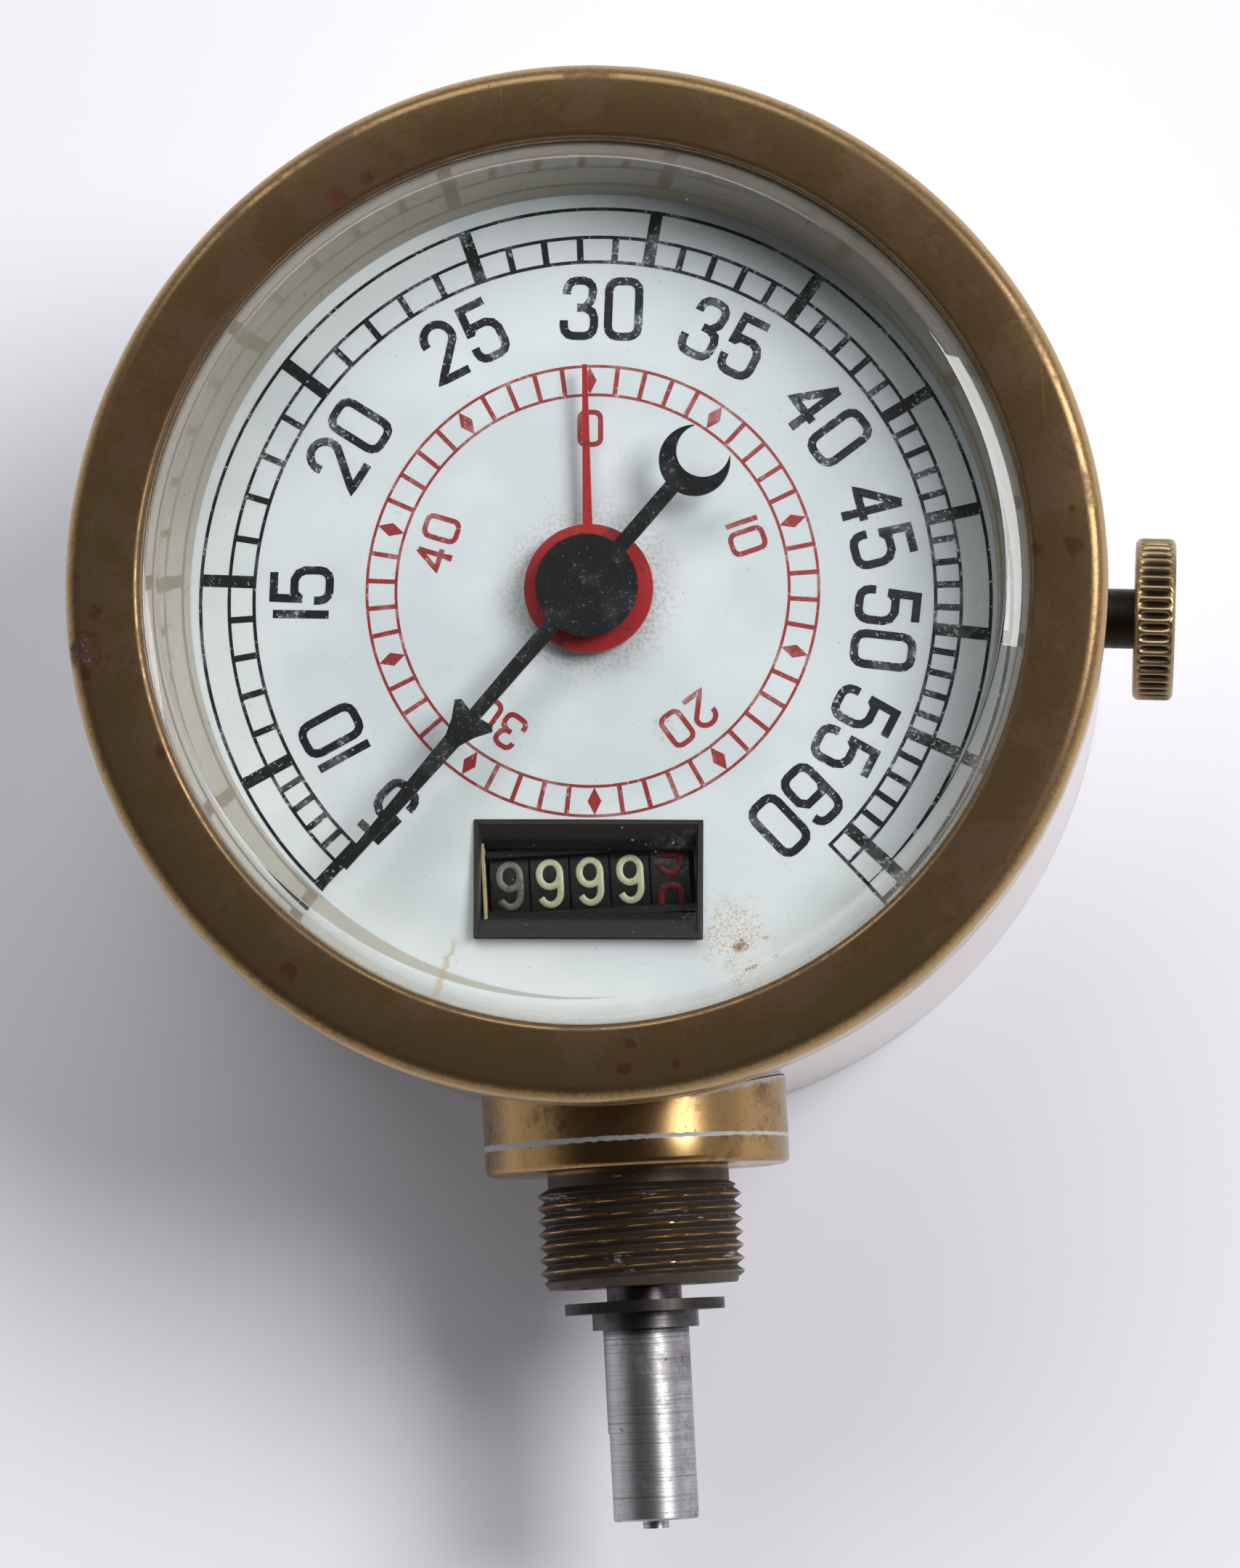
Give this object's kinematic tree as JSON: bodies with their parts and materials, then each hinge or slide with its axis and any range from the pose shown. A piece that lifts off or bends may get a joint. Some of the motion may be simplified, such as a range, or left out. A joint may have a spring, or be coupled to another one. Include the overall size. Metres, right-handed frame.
{
  "type": "vintage speedometer",
  "caption": "Round brass dashboard speedometer with bevelled glass, enamel dial, speed and trip hands, mileage counter, side reset knob and a threaded cable spigot.",
  "frame": {"origin": "centre of the flat back face", "axes": "+Z out of the dial towards the reader, -Y along the drive spigot, +X towards the reset knob"},
  "size_m": [0.1166, 0.1537, 0.062],
  "materials": {
    "aged_brass": "olive-brown patina with bright worn edges",
    "polished_brass": "polished, dulled",
    "bronze": "machined",
    "steel": "turned",
    "dark_steel": "darkened",
    "clear_glass": "polished, bevelled",
    "white_enamel": "gloss enamel",
    "black_paint": "worn satin",
    "red_paint": "worn satin"
  },
  "bodies": {
    "case": {"case_shell": "aged_brass", "back_cover": "aged_brass", "back_screws": "steel", "bezel": "aged_brass", "glass": "clear_glass", "inner_ring": "steel", "dial": "white_enamel", "window_frame": "dark_steel", "front_plate": "bronze", "plate_screws": "steel", "hand_bush": "polished_brass", "drive_boss": "polished_brass", "drive_spigot": "polished_brass", "spigot_bush": "bronze", "upper_bracket": "bronze", "arbor_bridge": "bronze", "bridge_pillars": "steel", "sector_stud": "steel", "counter_brackets": "bronze", "counter_axle": "steel", "jack_bracket": "bronze", "trip_brackets": "bronze", "reset_bush": "dark_steel", "reset_bracket": "bronze", "reset_spring": "steel"},
    "drive": {"drive_shaft": "steel", "drive_washer": "steel", "drive_worm": "bronze", "governor_hub": "bronze", "governor_pins": "steel", "governor_spring": "dark_steel"},
    "governor_collar": {"governor_collar": "steel"},
    "flyweight_right": {"flyweight_right": "bronze"},
    "flyweight_left": {"flyweight_left": "bronze"},
    "speed_pointer": {"hand_arbor": "steel", "hand_pinion": "polished_brass", "speed_hand": "black_paint"},
    "sector_lever": {"sector_lever": "polished_brass"},
    "jack": {"jack_spindle": "steel", "jack_wheel": "polished_brass", "jack_worm": "bronze"},
    "trip_layshaft": {"trip_shaft": "steel", "trip_shaft_wheel": "polished_brass", "trip_worm": "bronze"},
    "trip_wheel": {"trip_wheel": "polished_brass"},
    "trip_pointer": {"trip_tube": "steel", "reset_disc": "polished_brass", "clutch_washer": "dark_steel", "trip_hand": "red_paint"},
    "tenths": {"counter_wheel": "polished_brass", "tenths_drum": "black_paint"},
    "units": {"units_drum": "black_paint"},
    "tens": {"tens_drum": "black_paint"},
    "hundreds": {"hundreds_drum": "black_paint"},
    "thousands": {"thousands_drum": "black_paint"},
    "reset_slide": {"reset_washer": "steel"},
    "reset_control": {"reset_stem": "dark_steel", "reset_knob": "polished_brass", "friction_wheel": "bronze"}
  },
  "joints": [
    {"name": "drive_spin", "type": "hinge", "parent": "case", "child": "drive", "pos_m": [0, 0, 0.0245], "axis": [0, 1, 0], "continuous": true},
    {"name": "hand_sweep", "type": "hinge", "parent": "case", "child": "speed_pointer", "pos_m": [0, 0, 0.05], "axis": [0, 0, -1], "range_deg": [0, 270.5], "stiffness_Nm_per_rad": 0.0002, "springref_deg": -34.38},
    {"name": "lever_swing", "type": "hinge", "parent": "case", "child": "sector_lever", "pos_m": [0.00409, 0.01505, 0.032], "axis": [0, 0, 1], "range_deg": [0, 39.8]},
    {"name": "collar_slide", "type": "slide", "parent": "drive", "child": "governor_collar", "axis": [0, 1, 0], "range_m": [-0.0029, 0], "deforming": ["governor_spring"]},
    {"name": "flyweight_right_swing", "type": "hinge", "parent": "drive", "child": "flyweight_right", "pos_m": [0.008, 0.03204, 0.0245], "axis": [0, 0, 1], "range_deg": [0, 35.1]},
    {"name": "flyweight_left_swing", "type": "hinge", "parent": "drive", "child": "flyweight_left", "pos_m": [-0.008, 0.03204, 0.0245], "axis": [0, 0, -1], "range_deg": [0, 35.1]},
    {"name": "jack_spin", "type": "hinge", "parent": "case", "child": "jack", "pos_m": [0.01387, -0.02134, 0.0245], "axis": [0, 0, 1], "continuous": true},
    {"name": "trip_shaft_spin", "type": "hinge", "parent": "case", "child": "trip_layshaft", "pos_m": [0, -0.01234, 0.03717], "axis": [1, 0, 0], "continuous": true},
    {"name": "trip_wheel_spin", "type": "hinge", "parent": "case", "child": "trip_wheel", "pos_m": [0, 0, 0.03717], "axis": [0, 0, 1], "continuous": true},
    {"name": "tenths_spin", "type": "hinge", "parent": "case", "child": "tenths", "pos_m": [0, -0.03034, 0.03717], "axis": [1, 0, 0], "continuous": true},
    {"name": "units_spin", "type": "hinge", "parent": "case", "child": "units", "pos_m": [0, -0.03034, 0.03717], "axis": [1, 0, 0], "continuous": true},
    {"name": "tens_spin", "type": "hinge", "parent": "case", "child": "tens", "pos_m": [0, -0.03034, 0.03717], "axis": [1, 0, 0], "continuous": true},
    {"name": "hundreds_spin", "type": "hinge", "parent": "case", "child": "hundreds", "pos_m": [0, -0.03034, 0.03717], "axis": [1, 0, 0], "continuous": true},
    {"name": "thousands_spin", "type": "hinge", "parent": "case", "child": "thousands", "pos_m": [0, -0.03034, 0.03717], "axis": [1, 0, 0], "continuous": true},
    {"name": "reset_push", "type": "slide", "parent": "case", "child": "reset_slide", "axis": [-0.9963, 0.0854, 0], "range_m": [0, 0.0025], "stiffness_N_per_m": 300, "springref_m": -0.005, "deforming": ["reset_spring"]},
    {"name": "reset_turn", "type": "hinge", "parent": "reset_slide", "child": "reset_control", "pos_m": [0, 0, 0.03855], "axis": [0.9963, -0.0854, 0], "continuous": true},
    {"name": "trip_set", "type": "hinge", "parent": "trip_wheel", "child": "trip_pointer", "pos_m": [0, 0, 0.05], "axis": [0, 0, 1], "continuous": true}
  ],
  "couplings": [
    {"joint": "lever_swing", "follows": "hand_sweep", "ratio": 0.14706},
    {"joint": "collar_slide", "follows": "hand_sweep", "m_per_rad": -0.00060746},
    {"joint": "flyweight_right_swing", "follows": "hand_sweep", "ratio": 0.12939},
    {"joint": "flyweight_left_swing", "follows": "hand_sweep", "ratio": 0.12939},
    {"joint": "jack_spin", "follows": "drive_spin", "ratio": 0.025},
    {"joint": "trip_shaft_spin", "follows": "drive_spin", "ratio": 0.00096154},
    {"joint": "trip_wheel_spin", "follows": "drive_spin", "ratio": -0.000019231},
    {"joint": "tenths_spin", "follows": "drive_spin", "ratio": -0.00096154},
    {"joint": "units_spin", "follows": "drive_spin", "ratio": -0.000096154},
    {"joint": "tens_spin", "follows": "drive_spin", "ratio": -0.0000096154},
    {"joint": "hundreds_spin", "follows": "drive_spin", "ratio": -0.00000096154},
    {"joint": "thousands_spin", "follows": "drive_spin", "ratio": -0.000000096154},
    {"joint": "trip_set", "follows": "reset_turn", "ratio": -0.19335}
  ]
}
